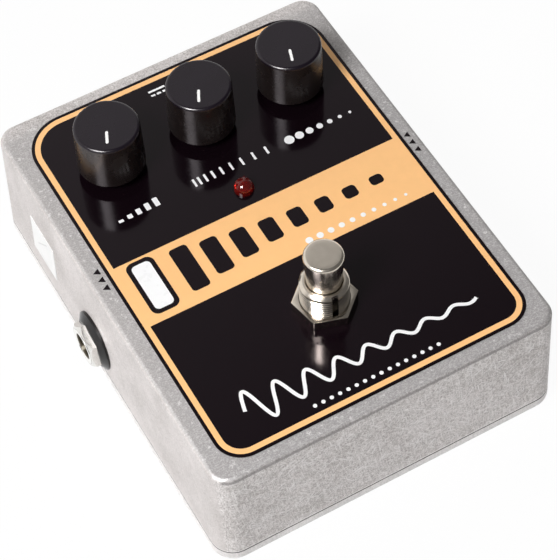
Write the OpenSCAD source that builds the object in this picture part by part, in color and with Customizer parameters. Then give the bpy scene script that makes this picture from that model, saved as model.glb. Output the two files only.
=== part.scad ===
// Delay pedal: a drafted die-cast box with three knobs, an indicator lamp, a stomp switch,
// two phone jacks, a power socket and one circuit board that hangs from the pots and jacks.
// Millimetres. +Z is up, the footswitch end faces -Y, the origin is the middle of the base.

/* [Case] */
// Length of the base, front to rear
case_l = 120.5; // [115:0.5:150]
// Width of the base, without the jacks
case_w = 93.3; // [90:0.1:120]
// Height from the table to the metal top
case_h = 34; // [33:0.5:45]
// Draft of the cast walls, in degrees
draft_angle = 2; // [0.5:0.5:3]
// Plan radius of the corners at the table
corner_r = 6; // [6:0.5:7.5]
// Fillet round the top edge
edge_fillet = 1.2; // [0.6:0.1:1.8]
// Thickness of the walls and the top
wall = 2.2; // [1.6:0.1:2.6]
// Thickness of the base plate
base_t = 2.4; // [1.6:0.1:3]
// Height of the seam over the base plate
seam_h = 0.3; // [0.1:0.05:0.6]
// Depth of the seam
seam_d = 0.3; // [0.1:0.05:0.5]
// Fillet inside the top
inner_fillet = 1; // [0.5:0.1:1.5]

/* [Base fixing] */
// Distance of the screw posts' axes from the outer faces
post_inset = 6.4; // [6:0.1:7]
// Depth to which the posts run into the walls at the table
post_bite = 0.3; // [0.2:0.05:0.6]
// Diameter of the base screws
screw_d = 3; // [2.5:0.1:3.5]
// Diameter of the countersunk heads
screw_head_d = 6; // [5:0.1:6.5]
// Depth of the countersink
screw_head_h = 1.5; // [1:0.1:1.6]
// Length of the base screws under the table face
screw_l = 11; // [8:0.5:16]
// Slot in the screw heads: width
screw_slot_w = 0.9; // [0.6:0.1:1.2]
// Slot in the screw heads: depth
screw_slot_h = 0.7; // [0.4:0.1:0.9]
// Height of the locating lip on the base plate
lip_h = 1; // [0.8:0.1:1.4]
// Thickness of the locating lip
lip_t = 1.6; // [1:0.1:2.5]
// Room between the lip and the walls
lip_gap = 0.25; // [0.15:0.05:0.5]
// Room between a lip's end and a post
lip_end_gap = 2; // [1:0.5:5]

/* [Face print] */
// Bare metal beside the printed face, from the outer edge at the table
print_rim_x = 5.55; // [4:0.05:8]
// Bare metal in front of and behind the printed face
print_rim_y = 4.75; // [4:0.05:8]
// Thickness of the printed face
print_t = 0.2; // [0.1:0.05:0.4]
// Radius of the print's rear corners
print_rear_r = 11; // [8:0.5:14]
// Radius of the print's front corners
print_front_r = 7; // [5:0.5:10]
// Black border outside the pinstripe
print_border = 0.85; // [0.5:0.05:1.5]
// Width of the pinstripe
stripe_w = 1.4; // [0.8:0.1:2]
// Offset of the print to the right of the middle
print_x = 0.4; // [-1:0.1:1]
// Middle of the wide band, front to rear
band_y = -3.3; // [-6:0.1:0]
// Width of the band
band_w = 19.2; // [14:0.2:24]

/* [Side label] */
// Length of the label on the left wall
label_l = 13; // [8:0.5:20]
// Height of the label
label_h = 12.2; // [6:0.2:16]
// Thickness of the label
label_t = 0.15; // [0.1:0.05:0.3]
// Middle of the label, front to rear
label_y = 33.9; // [24:0.1:40]
// Middle of the label above the table
label_z = 15.2; // [12:0.1:20]

/* [Knobs] */
// Distance between neighbouring knobs
knob_pitch = 25.2; // [22:0.1:28]
// Offset of the knob row to the right of the middle
knob_x = 0.5; // [-1:0.1:1]
// Distance of the knob row from the case's rear end at the table
knob_inset = 26.25; // [24:0.25:30]
// Diameter of a knob at its foot
knob_base_d = 17; // [15:0.1:19]
// Diameter of a knob below its top fillet
knob_top_d = 16.4; // [14:0.1:18]
// Height of a knob
knob_h = 13.2; // [11:0.1:18]
// Height of a knob's foot over the print
knob_lift = 3; // [2.9:0.1:5]
// Fillet round a knob's top
knob_fillet = 0.75; // [0.3:0.05:1.5]
// Wall of a knob round its foot recess
knob_wall = 1.6; // [1.2:0.1:2]
// Depth of the foot recess
knob_recess_h = 3; // [2:0.5:4]
// Diameter of the hub inside the recess
knob_hub_d = 10; // [9:0.5:11]
// Step from a knob's foot up to its hub, which leaves room for the bushing
knob_hub_step = 1.2; // [1.1:0.1:1.8]
// Plastic over the end of the shaft
knob_roof = 2; // [1.5:0.1:4]
// Length of the pointer inlay
pointer_l = 3.9; // [2:0.1:6]
// Width of the pointer inlay
pointer_w = 0.7; // [0.4:0.05:1.2]
// Depth of the pointer inlay
pointer_h = 0.4; // [0.2:0.05:0.8]
// Distance of the pointer's outer end from the axis
pointer_reach = 5.6; // [4:0.1:7]
// Pointer angle of the mix knob at its low stop, left of straight front
mix_rest = 24; // [0:1:60]
// Pointer angle of the time knob at its low stop
time_rest = 27; // [0:1:60]
// Pointer angle of the repeats knob at its low stop
repeats_rest = 19; // [0:1:60]

/* [Potentiometers] */
// Turn of a knob from stop to stop
pot_turn = 300; // [240:5:300]
// Diameter of the shafts
shaft_d = 6; // [5:0.1:6.4]
// Running clearance of a shaft, on the radius
shaft_fit = 0.05; // [0.02:0.01:0.1]
// Depth of the flat on a shaft
shaft_flat = 1.2; // [0.5:0.1:1.5]
// Diameter of the threaded bushings
bushing_d = 7.4; // [7.2:0.1:8]
// Height of a bushing over the print
bushing_rise = 3.6; // [3.2:0.1:4]
// Diameter of a pot's can
pot_d = 16; // [15:0.5:18]
// Height of a pot's can
pot_can_h = 6.6; // [6:0.2:9]
// Wall of the can
pot_can_wall = 1.2; // [0.8:0.1:1.6]
// Thickness of the bushing's flange, the can's front plate
pot_flange_t = 1.2; // [0.8:0.1:2]
// Thickness of the resistance wafer under the can
wafer_t = 1.2; // [0.8:0.1:2]
// Width of the wafer's tongue
tongue_w = 13; // [12:0.5:15]
// Reach of the tongue in front of the can
tongue_l = 4; // [3:0.5:6]
// Thickness of the rotor on the shaft
rotor_t = 1.6; // [1:0.1:2.5]
// Diameter of the rotor
rotor_d = 9.6; // [8:0.2:10]
// Room over and under the rotor
rotor_gap = 0.3; // [0.2:0.05:0.6]
// Reach of the rotor's stop tab from the axis
tab_reach = 6.3; // [5.5:0.1:6.4]
// Angle that the tab takes
tab_angle = 20; // [10:1:30]
// Angle left between the tab and its stop at either end
stop_slack = 3; // [2:0.5:5]
// Thickness of the pot nuts
pot_nut_t = 2; // [1.6:0.1:2.4]
// Size of the pot nuts across their flats
pot_nut_af = 10; // [9.5:0.1:11]
// Thickness of the pot washers
pot_washer_t = 0.6; // [0.4:0.1:0.8]
// Diameter of the pot washers
pot_washer_d = 11; // [10.5:0.5:12]
// Distance between a pot's terminals
pot_pin_pitch = 5; // [4:0.5:5.5]

/* [Indicator lamp] */
// Diameter of the lamp
lamp_d = 5; // [3:0.1:5.2]
// Place of the lamp, front to rear
lamp_y = 11.5; // [10:0.25:14]
// Straight part of the lamp over the print
lamp_rise = 0.6; // [0.3:0.1:1.5]
// Diameter of the lamp's flange under the top
lamp_flange_d = 5.8; // [5.4:0.1:6.4]
// Thickness of the flange
lamp_flange_t = 1; // [0.6:0.1:1.5]
// Distance between the lamp's leads
lead_pitch = 2.54; // [2:0.02:3]
// Thickness of the leads
lead_t = 0.5; // [0.4:0.05:0.7]

/* [Footswitch] */
// Distance of the footswitch from the case's front end at the table
switch_inset = 32.25; // [28:0.25:34]
// Travel of the button
switch_travel = 3.5; // [2:0.1:4]
// Diameter of the threaded bushing
switch_bushing_d = 12; // [11.6:0.1:12.4]
// Height of the bushing over the print
switch_rise = 9.9; // [9:0.1:14]
// Height of the plain ring at the bushing's top
switch_ring_h = 1; // [0.8:0.1:3]
// Diameter of the plain ring
switch_ring_d = 10.8; // [10.6:0.1:11.4]
// Width of the keyway down the bushing's front
keyway_w = 1.6; // [0.8:0.1:2]
// Depth of the keyway
keyway_h = 0.7; // [0.4:0.1:0.8]
// Angle of the keyway, from straight front
keyway_turn = -4; // [-30:1:30]
// Diameter of the button's barrel in the bushing
barrel_d = 8.5; // [8:0.1:8.6]
// Running clearance of the barrel and its stem, on the radius
barrel_fit = 0.07; // [0.03:0.01:0.1]
// Diameter of the button's head
button_d = 9.7; // [9.4:0.1:10.5]
// Diameter of the head's foot, where the neck begins
button_foot_d = 9.2; // [8.8:0.1:9.4]
// Height of the button over the bushing
button_h = 9.9; // [9:0.1:12]
// Height of the button's head
button_head_h = 4.5; // [3:0.1:4.8]
// Fillet round the button's head
button_fillet = 0.6; // [0.3:0.05:1]
// Barrel left inside the bushing at rest
barrel_in = 5.5; // [4.5:0.1:6]
// Diameter of the stem under the barrel
stem_d = 4; // [3:0.1:4.4]
// Room under the stem at the end of its travel
stem_room = 0.6; // [0.4:0.1:2]
// Diameter of the stem's collar, which stops the button at the top of its travel
stem_stop_d = 6.4; // [5.6:0.1:7]
// Thickness of the stem's collar
stem_stop_t = 1.2; // [0.8:0.1:2]
// Room between the stem's collar and the housing's roof at rest
stem_stop_gap = 0.2; // [0.1:0.05:0.4]
// Floor of the bushing, which carries the spring
switch_floor_t = 2.3; // [1.5:0.1:3]
// Diameter of the spring wire
spring_wire_d = 0.6; // [0.4:0.05:0.7]
// Middle diameter of the spring
spring_d = 6.6; // [6:0.1:7]
// Turns of the spring
spring_turns = 6; // [4:1:7]
// Thickness of the outer nut
switch_nut_t = 2.9; // [1.5:0.1:4]
// Size of both nuts across their flats
switch_nut_af = 14; // [13.6:0.1:16]
// Angle of the outer nut's first corner
switch_nut_turn = -18; // [-60:1:60]
// Thickness of the nut under the top
inner_nut_t = 2; // [1.5:0.1:3]
// Thickness of the lock washer under the top
lock_washer_t = 0.8; // [0.5:0.1:1]
// Diameter of the lock washer
lock_washer_d = 18; // [16.6:0.2:20]
// Thread left bare between the inner nut and the housing
switch_neck = 1.7; // [1:0.1:3]
// Side of the square switch housing
housing_w = 17.5; // [16:0.5:20]
// Height of the switch housing
housing_h = 13; // [12:0.5:15]
// Wall of the switch housing
housing_wall = 1.5; // [1:0.1:2]
// Distance between the solder lugs
lug_pitch = 5; // [4.5:0.1:5.5]
// Width of a lug
lug_w = 2.2; // [1.6:0.1:2.6]
// Thickness of a lug
lug_t = 0.8; // [0.5:0.1:1]
// Length of a lug under the housing
lug_l = 5; // [3:0.5:5]
// Height of a lug's contact inside the housing
lug_rise = 0.6; // [0.3:0.1:0.8]

/* [Jacks] */
// Place of both jacks, front to rear
jack_y = 5.4; // [2:0.1:8]
// Height of the jacks' axes over the table
jack_z = 10.6; // [10:0.1:12]
// Diameter of the plug hole
jack_bore_d = 6.4; // [6.38:0.01:6.6]
// Diameter of the threaded sleeve
sleeve_d = 9.4; // [9:0.1:9.8]
// Reach of the sleeve outside the wall
sleeve_reach = 3.7; // [3.6:0.1:6]
// Bevel at the mouth of the plug hole
mouth_bevel = 0.5; // [0.2:0.1:0.8]
// Diameter of the round collar at the wall
collar_d = 15.9; // [15:0.1:18]
// Diameter of the collar's front
collar_front_d = 12; // [11.6:0.1:13]
// Thickness of the collar
collar_t = 1.7; // [1.2:0.1:2]
// Straight rim of the collar
collar_rim = 0.5; // [0.4:0.1:1]
// Thickness of the jack nuts
jack_nut_t = 1.9; // [1.5:0.1:2]
// Size of the jack nuts across their flats
jack_nut_af = 10.9; // [10.8:0.1:12.7]
// Diameter of the round face that the bevel leaves on a jack nut
jack_nut_face_d = 10.6; // [10.2:0.1:11.2]
// Angle of the bevel on a jack nut
jack_nut_bevel = 40; // [20:1:45]
// Angle of the nuts' first corner
jack_nut_turn = 48; // [0:1:60]
// Width of a jack's body, front to rear
jack_body_w = 15; // [14:0.5:17]
// Height of a jack's body
jack_body_h = 13; // [12.5:0.1:13.4]
// Length of a jack's body behind the wall
jack_body_l = 26; // [24:0.5:28]
// Rear wall of a jack's body
jack_rear_t = 2; // [1.5:0.1:3]
// Diameter of the room for the plug
jack_room_d = 10.4; // [9.8:0.1:11]
// Width of a contact strip
strip_w = 3; // [2:0.1:4]
// Thickness of a contact strip
strip_t = 0.5; // [0.3:0.05:0.8]

/* [Power socket] */
// Place of the socket across the rear wall
dc_x = 0; // [-8:0.5:8]
// Width of the socket's body
dc_w = 9; // [8.6:0.1:11]
// Height of the socket's body
dc_h = 11; // [10:0.1:11.4]
// Depth of the axis under the circuit board
dc_drop = 6.5; // [6.3:0.1:7]
// Length of the socket's body behind the wall
dc_l = 13; // [12:0.5:16]
// Diameter of the round nose in the wall
dc_nose_d = 8.4; // [8:0.1:8.6]
// Step of the nose behind the wall's outer face
dc_recess = 0.6; // [0.3:0.1:1]
// Diameter of the plug hole
dc_bore_d = 6.3; // [5.8:0.1:6.5]
// Depth of the plug hole
dc_bore_l = 10; // [9:0.5:12]
// Diameter of the centre pin
dc_pin_d = 2.1; // [1.9:0.1:2.5]
// Distance of the pin's end from the mouth
dc_pin_back = 0.8; // [0.5:0.1:2]
// Length of the pin's tail behind the plug hole
dc_pin_tail = 1.5; // [1:0.1:2]
// Length of the pin's wider root in the plug hole
dc_pin_root = 0.5; // [0.3:0.1:1]
// Step from the pin's root to its shaft, on the radius
dc_pin_step = 0.2; // [0.1:0.05:0.25]
// Width of the side spring
dc_spring_w = 2.4; // [1.5:0.1:3]
// Thickness of the side spring
dc_spring_t = 0.4; // [0.3:0.05:0.5]

/* [Circuit board] */
// Half width of the board
board_half_w = 33.5; // [30:0.5:34]
// Front edge of the board
board_front = -12; // [-16:0.5:-10]
// Room between the board and the rear wall
board_gap = 2.4; // [1.5:0.1:6]
// Thickness of the board
board_t = 1.6; // [1:0.1:2]
// Distance of the delay chip from the board's front edge
delay_chip_inset = 16.5; // [12:0.5:20]
// Length of the delay chip
delay_chip_l = 31; // [30:0.5:36]
// Width of the delay chip
delay_chip_w = 9; // [6:0.5:12]
// Pins in a row of the delay chip
delay_chip_pins = 12; // [8:1:14]
// Length of an amplifier chip
amp_chip_l = 9.6; // [9:0.2:12]
// Width of an amplifier chip
amp_chip_w = 6.4; // [5:0.2:8]
// Pins in a row of an amplifier chip
amp_chip_pins = 4; // [3:1:4]
// Thickness of the chips
chip_t = 3.4; // [2:0.1:4]
// Stand-off of the chips
chip_gap = 0.5; // [0.3:0.1:1]
// Width of a chip's pins
chip_pin_w = 0.5; // [0.4:0.05:0.6]
// Distance between a chip's pins
chip_pin_pitch = 2.54; // [2:0.02:3]
// Diameter of the electrolytic capacitors
electro_d = 6.3; // [5:0.1:8]
// Height of the electrolytic capacitors
electro_h = 11; // [7:0.5:12]
// Distance of the film capacitors from the board's front edge
film_inset = 1; // [0.5:0.1:3]
// Length of the film capacitors
film_l = 7.2; // [6:0.1:9]
// Thickness of the film capacitors
film_w = 2.6; // [2:0.1:4]
// Height of the film capacitors
film_h = 6.5; // [5:0.1:9]
// Room between the rows of parts behind the jack bodies
part_gap = 2; // [1:0.5:3]
// Diameter of the resistors
resistor_d = 2.3; // [1.6:0.1:3]
// Length of the resistors
resistor_l = 6.3; // [5:0.1:8]
// Diameter of the regulator's round back
regulator_d = 5; // [4:0.1:6]
// Height of the regulator
regulator_h = 5; // [4:0.1:7]
// Stand-off of the regulator on its legs
regulator_gap = 3; // [1:0.5:5]
// Diameter of the hook-up wires
wire_d = 1.4; // [1:0.1:1.8]
// Bend radius of the hook-up wires
wire_bend = 2.5; // [2:0.1:3]
// Height of the wires' run over the table
wire_run_z = 5; // [4:0.1:6]
// Distance of the wires' pads from the board's front edge
wire_pad_inset = 4; // [3:0.5:6]

/* [Clearances] */
// Room round threaded parts in their holes, on the radius
hole_gap = 0.15; // [0.1:0.05:0.3]
// Room between nested fixed parts, on the radius
seat_gap = 0.05; // [0.02:0.01:0.1]

/* [Hidden] */
$fn = 64;

slope = tan(draft_angle);
top_z = case_h + print_t;
ceiling_z = case_h - wall;
far = 400;
over = 1;

// The printed face keeps a bare rim on all sides.
print_w = case_w - 2 * print_rim_x;
print_l = case_l - 2 * print_rim_y;

// Screw posts stand at a fixed distance from the outer faces.
post_x = case_w / 2 - post_inset;
post_y = case_l / 2 - post_inset;
post_r = post_inset - wall + post_bite;

// Knob row, left to right.
knob_y = case_l / 2 - knob_inset;
mix_x = knob_x - knob_pitch;
time_x = knob_x;
repeats_x = knob_x + knob_pitch;
knob_z = top_z + knob_lift;
knob_top_z = knob_z + knob_h;
shaft_top_z = knob_top_z - knob_roof;
bushing_top_z = top_z + bushing_rise;

// A pot hangs under the ceiling: flange, can, wafer.
flange_z = ceiling_z - pot_flange_t;
can_z = flange_z - pot_can_h;
wafer_z = can_z - wafer_t;
stop_angle = 360 - pot_turn - tab_angle - 2 * stop_slack;
rotor_z = flange_z - rotor_gap - rotor_t;
shaft_foot_z = can_z + rotor_gap;
can_inner_r = pot_d / 2 - pot_can_wall;
tongue_front = knob_y - pot_d / 2 - tongue_l;
pot_pin_y = tongue_front + tongue_l / 2;

// The board lies on the jack bodies, under the pots, and ends short of the rear wall.
board_z = jack_z + jack_body_h / 2;
board_top_z = board_z + board_t;
board_rear = case_l / 2 - wall / cos(draft_angle) - slope * board_top_z - board_gap;

// Footswitch place, and its levels from the top down.
switch_y = switch_inset - case_l / 2;
lock_washer_z = ceiling_z - lock_washer_t;
inner_nut_z = lock_washer_z - inner_nut_t;
housing_top_z = inner_nut_z - switch_neck;
housing_z = housing_top_z - housing_h;
switch_floor_z = housing_top_z + switch_floor_t;
switch_top_z = top_z + switch_rise;
barrel_z = switch_top_z - barrel_in;
barrel_top_z = switch_top_z + switch_travel + 2 * barrel_fit;
button_top_z = switch_top_z + button_h;
switch_bore_r = barrel_d / 2 + barrel_fit;
stem_z = housing_z + housing_wall + lug_rise + switch_travel + stem_room;
stop_top_z = housing_top_z - housing_wall - stem_stop_gap;
lug_row = [-lug_pitch, 0, lug_pitch];
lug_foot_z = housing_z - lug_l;

// Jack places on the slanted wall.
jack_wall_x = case_w / 2 - slope * jack_z;
jack_inner_x = case_w / 2 - wall / cos(draft_angle) - slope * (jack_z + jack_body_h / 2);
jack_rear_x = jack_inner_x - jack_body_l;
collar_bite = slope * collar_d;
strip_seat = jack_room_d / 2 - 2 * strip_t;
nut_cos = cos(30);

// Parts under the board stand in four columns, with the resistors just behind the jack bodies.
column_x = [for (i = [-2, -1, 1, 2]) i * knob_pitch / 2];
resistor_x = [for (i = [3:5], s = [-1, 1]) s * i * 2 * resistor_d];
resistor_y = jack_y + jack_body_w / 2 + part_gap;
electro_y = resistor_y + resistor_l + part_gap + electro_d / 2;
amp_chip_y = electro_y + electro_d / 2 + part_gap + amp_chip_l / 2;

// Power socket on the rear wall, under the board.
dc_z = board_z - dc_drop;
dc_mouth_y = case_l / 2 - slope * (dc_z + dc_nose_d / 2) - dc_recess;
dc_front_y = case_l / 2 - wall / cos(draft_angle) - slope * board_z;
dc_rear_y = dc_front_y - dc_l;
dc_bore_floor = dc_mouth_y - dc_bore_l;

// Half of the case's outline in a vertical plane: a slanted side and a filleted top edge.
module side_half(half, height, fillet) {
    centre = [half - slope * (height - fillet) - fillet / cos(draft_angle), height - fillet];
    tangent = centre + fillet * [cos(draft_angle), sin(draft_angle)];
    polygon([[0, 0], [half, 0], tangent, centre, [centre[0], height], [0, height]]);
    translate(centre) intersection() {
        circle(fillet);
        polygon([[0, 0], 2 * (tangent - centre), [2 * fillet, 2 * fillet], [0, 2 * fillet]]);
    }
}

module side_full(half, height, fillet) {
    side_half(half, height, fillet);
    mirror([1, 0]) side_half(half, height, fillet);
}

// A box with slanted walls, cone corners and a filleted top, standing on z = 0.
module drafted_block(w, l, height, r, fillet) {
    rotate([90, 0, 0])
        linear_extrude(l - 2 * r, center = true) side_full(w / 2, height, fillet);
    rotate([90, 0, 90])
        linear_extrude(w - 2 * r, center = true) side_full(l / 2, height, fillet);
    for (sx = [-1, 1], sy = [-1, 1])
        translate([sx * (w / 2 - r), sy * (l / 2 - r), 0])
            rotate_extrude() side_half(r, height, fillet);
}

module case_block() {
    drafted_block(case_w, case_l, case_h, corner_r, edge_fillet);
}

module case_room() {
    skin = wall / cos(draft_angle);
    drafted_block(case_w - 2 * skin, case_l - 2 * skin, ceiling_z, corner_r - skin, inner_fillet);
}

module below(z) {
    translate([-far / 2, -far / 2, z - far]) cube(far);
}

module above(z) {
    translate([-far / 2, -far / 2, z]) cube(far);
}

module at_posts() {
    for (sx = [-1, 1], sy = [-1, 1])
        translate([sx * post_x, sy * post_y, 0]) children();
}

module at_pots() {
    for (x = [mix_x, time_x, repeats_x])
        translate([x, knob_y, 0]) children();
}

// Round holes in the top for the bushings and the lamp, from z0 upwards.
module top_holes(z0, height) {
    translate([0, 0, z0]) {
        at_pots() cylinder(height, r = bushing_d / 2 + hole_gap);
        translate([0, lamp_y, 0]) cylinder(height, r = lamp_d / 2 + seat_gap);
        translate([0, switch_y, 0]) cylinder(height, r = switch_bushing_d / 2 + hole_gap);
    }
}

// Children are drawn along +X from the wall of the right jack, and mirrored for the left one.
module at_jack(side) {
    mirror([side < 0 ? 1 : 0, 0, 0])
        translate([0, jack_y, jack_z]) children();
}

module along_x() {
    rotate([0, 90, 0]) children();
}

module along_y() {
    rotate([-90, 0, 0]) children();
}

// A shallow step round the foot of the walls, which shows as the seam over the base plate.
module seam_step() {
    difference() {
        translate([-far / 2, -far / 2, base_t - over]) cube([far, far, seam_h + over]);
        drafted_block(case_w - 2 * seam_d, case_l - 2 * seam_d, case_h, corner_r - seam_d, edge_fillet);
    }
}

module enclosure() {
    color("silver") difference() {
        union() {
            difference() {
                case_block();
                case_room();
            }
            at_posts() translate([0, 0, base_t]) cylinder(ceiling_z - base_t, r = post_r);
        }
        below(base_t);
        seam_step();
        top_holes(ceiling_z - wall, 3 * wall);
        at_posts() cylinder(screw_l + over, r = screw_d / 2 + seat_gap);
        for (side = [-1, 1])
            at_jack(side) translate([post_x, 0, 0])
                along_x() cylinder(far, r = sleeve_d / 2 + hole_gap);
        translate([dc_x, post_y, dc_z]) along_y() cylinder(far, r = dc_nose_d / 2 + hole_gap);
    }
}

module lip_bar(length, offset_y) {
    translate([-length / 2, offset_y - lip_t, base_t]) cube([length, lip_t, lip_h]);
}

module base_plate() {
    lip_x = case_w / 2 - wall / cos(draft_angle) - slope * (base_t + lip_h) - lip_gap;
    lip_y = case_l / 2 - wall / cos(draft_angle) - slope * (base_t + lip_h) - lip_gap;
    color("gainsboro") difference() {
        union() {
            difference() {
                case_block();
                above(base_t);
            }
            for (turn = [0, 180])
                rotate(turn) lip_bar(2 * (post_x - post_r - lip_end_gap), lip_y);
            for (turn = [90, 270])
                rotate(turn) lip_bar(2 * (post_y - post_r - lip_end_gap), lip_x);
        }
        at_posts() {
            translate([0, 0, -over]) cylinder(base_t + 2 * over, r = screw_d / 2 + seat_gap);
            cylinder(screw_head_h, r1 = screw_head_d / 2, r2 = screw_d / 2);
        }
    }
}

module base_screws() {
    color("dimgray") at_posts() difference() {
        union() {
            cylinder(screw_l, r = screw_d / 2);
            cylinder(screw_head_h, r1 = screw_head_d / 2, r2 = screw_d / 2);
        }
        for (turn = [0, 90])
            rotate(turn) translate([-screw_d / 2, -screw_slot_w / 2, -screw_slot_h])
                cube([screw_d, screw_slot_w, 2 * screw_slot_h]);
    }
}

// Outline of the printed face, drawn in by inset: rounder at the rear than at the front.
module print_outline(inset) {
    half_w = print_w / 2 - inset;
    half_l = print_l / 2 - inset;
    rear = print_rear_r - inset;
    front = print_front_r - inset;
    for (s = [-1, 1]) {
        translate([s * (half_w - rear), half_l - rear]) circle(rear);
        translate([s * (half_w - front), front - half_l]) circle(front);
    }
    polygon([
        [half_w - front, -half_l], [half_w, front - half_l],
        [half_w, half_l - rear], [half_w - rear, half_l],
        [rear - half_w, half_l], [-half_w, half_l - rear],
        [-half_w, front - half_l], [front - half_w, -half_l]
    ]);
}

module orange_area() {
    difference() {
        print_outline(print_border);
        print_outline(print_border + stripe_w);
    }
    intersection() {
        print_outline(print_border + stripe_w / 2);
        translate([-print_w / 2, band_y - band_w / 2]) square([print_w, band_w]);
    }
}

module face_black() {
    color("black") translate([0, 0, case_h]) difference() {
        translate([print_x, 0, 0]) linear_extrude(print_t) difference() {
            print_outline(0);
            orange_area();
        }
        top_holes(-print_t, 3 * print_t);
    }
}

module face_orange() {
    color("sandybrown") translate([print_x, 0, case_h]) linear_extrude(print_t) orange_area();
}

// The label lies on the slanted left wall.
module side_label() {
    color("white")
        translate([slope * label_z - case_w / 2, label_y, label_z]) rotate([0, draft_angle, 0])
            translate([-label_t, -label_l / 2, -label_h / 2]) cube([label_t, label_l, label_h]);
}

module knob_profile() {
    centre = [knob_top_d / 2 - knob_fillet, knob_h - knob_fillet];
    polygon([
        [0, 0], [knob_base_d / 2, 0], [knob_top_d / 2, centre[1]],
        centre, [centre[0], knob_h], [0, knob_h]
    ]);
    translate(centre) circle(knob_fillet);
}

module shaft_section(extra) {
    difference() {
        circle(shaft_d / 2 + extra);
        translate([-shaft_d, shaft_d / 2 - shaft_flat + extra]) square(2 * shaft_d);
    }
}

module pointer_bar(z0, height) {
    run = pointer_l - pointer_w;
    translate([0, pointer_w / 2 - pointer_reach, z0]) {
        cylinder(height, r = pointer_w / 2);
        translate([-pointer_w / 2, 0, 0]) cube([pointer_w, run, height]);
        translate([0, run, 0]) cylinder(height, r = pointer_w / 2);
    }
}

module knob(x, rest) {
    color("#1c1a1c") translate([x, knob_y, 0]) difference() {
        translate([0, 0, knob_z]) rotate_extrude() knob_profile();
        translate([0, 0, knob_z]) difference() {
            translate([0, 0, -over]) cylinder(knob_recess_h + over, r = knob_base_d / 2 - knob_wall);
            translate([0, 0, knob_hub_step]) cylinder(knob_recess_h, r = knob_hub_d / 2);
        }
        translate([0, 0, knob_z - over])
            linear_extrude(shaft_top_z - knob_z + over) shaft_section(seat_gap);
        rotate(-rest) pointer_bar(knob_top_z - pointer_h, 2 * pointer_h);
    }
}

module pointer(x, rest) {
    color("white") translate([x, knob_y, 0])
        rotate(-rest) pointer_bar(knob_top_z - pointer_h, pointer_h);
}

// Shaft with its rotor disc, and a tab that meets the can's stop at both ends of the turn.
module shaft(x) {
    tab_middle = -90 - stop_angle / 2 - stop_slack - tab_angle / 2;
    color("lightgray") translate([x, knob_y, 0]) {
        translate([0, 0, shaft_foot_z]) cylinder(knob_z - shaft_foot_z, r = shaft_d / 2);
        translate([0, 0, knob_z]) linear_extrude(shaft_top_z - knob_z) shaft_section(0);
        translate([0, 0, rotor_z]) {
            cylinder(rotor_t, r = rotor_d / 2);
            rotate(tab_middle - tab_angle / 2)
                rotate_extrude(angle = tab_angle) square([tab_reach, rotor_t]);
        }
    }
}

module pot_bushing(x) {
    color("silver") translate([x, knob_y, 0]) difference() {
        union() {
            translate([0, 0, flange_z]) cylinder(pot_flange_t, r = pot_d / 2);
            translate([0, 0, flange_z]) cylinder(bushing_top_z - flange_z, r = bushing_d / 2);
        }
        translate([0, 0, flange_z - over])
            cylinder(bushing_top_z - flange_z + 2 * over, r = shaft_d / 2 + shaft_fit);
    }
}

// Can of a pot, with the stop that limits its rotor.
module pot_can(x) {
    stop_inner = rotor_d / 2 + rotor_gap;
    color("darkseagreen") translate([x, knob_y, can_z]) {
        difference() {
            cylinder(pot_can_h, r = pot_d / 2);
            translate([0, 0, -over]) cylinder(pot_can_h + 2 * over, r = can_inner_r);
        }
        rotate(-90 - stop_angle / 2) rotate_extrude(angle = stop_angle)
            translate([stop_inner, 0]) square([pot_d / 2 - pot_can_wall / 2 - stop_inner, pot_can_h]);
    }
}

module pot_wafers() {
    tongue = knob_y - tongue_front;
    color("saddlebrown") at_pots() translate([0, 0, wafer_z]) {
        cylinder(wafer_t, r = pot_d / 2);
        translate([-tongue_w / 2, -tongue, 0]) cube([tongue_w, tongue, wafer_t]);
    }
}

module pot_terminals() {
    color("gainsboro")
        for (x = [mix_x, time_x, repeats_x], i = [-1:1])
            translate([x + i * pot_pin_pitch - lug_t / 2, pot_pin_y - lug_t / 2, board_top_z])
                cube([lug_t, lug_t, wafer_z - board_top_z]);
}

// Hexagon nut with a round hole, standing on z = 0.
module nut(across, thick, hole_r) {
    difference() {
        cylinder(thick, r = across / 2 / nut_cos, $fn = 6);
        translate([0, 0, -over]) cylinder(thick + 2 * over, r = hole_r);
    }
}

module pot_nuts() {
    color("silver") at_pots() translate([0, 0, top_z + pot_washer_t])
        nut(pot_nut_af, pot_nut_t, bushing_d / 2 + seat_gap);
}

module pot_washers() {
    color("silver") at_pots() translate([0, 0, top_z]) difference() {
        cylinder(pot_washer_t, r = pot_washer_d / 2);
        translate([0, 0, -over]) cylinder(pot_washer_t + 2 * over, r = bushing_d / 2 + seat_gap);
    }
}

module lamp_lens() {
    dome_z = top_z + lamp_rise;
    color("darkred") translate([0, lamp_y, 0]) {
        translate([0, 0, ceiling_z - lamp_flange_t]) cylinder(lamp_flange_t, r = lamp_flange_d / 2);
        translate([0, 0, ceiling_z - lamp_flange_t])
            cylinder(dome_z - ceiling_z + lamp_flange_t, r = lamp_d / 2);
        translate([0, 0, dome_z]) rotate_extrude() intersection() {
            circle(lamp_d / 2);
            square(lamp_d);
        }
    }
}

module lamp_leads() {
    color("gainsboro")
        for (s = [-1, 1])
            translate([s * lead_pitch / 2 - lead_t / 2, lamp_y - lead_t / 2, board_top_z])
                cube([lead_t, lead_t, ceiling_z - lamp_flange_t - board_top_z]);
}

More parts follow.
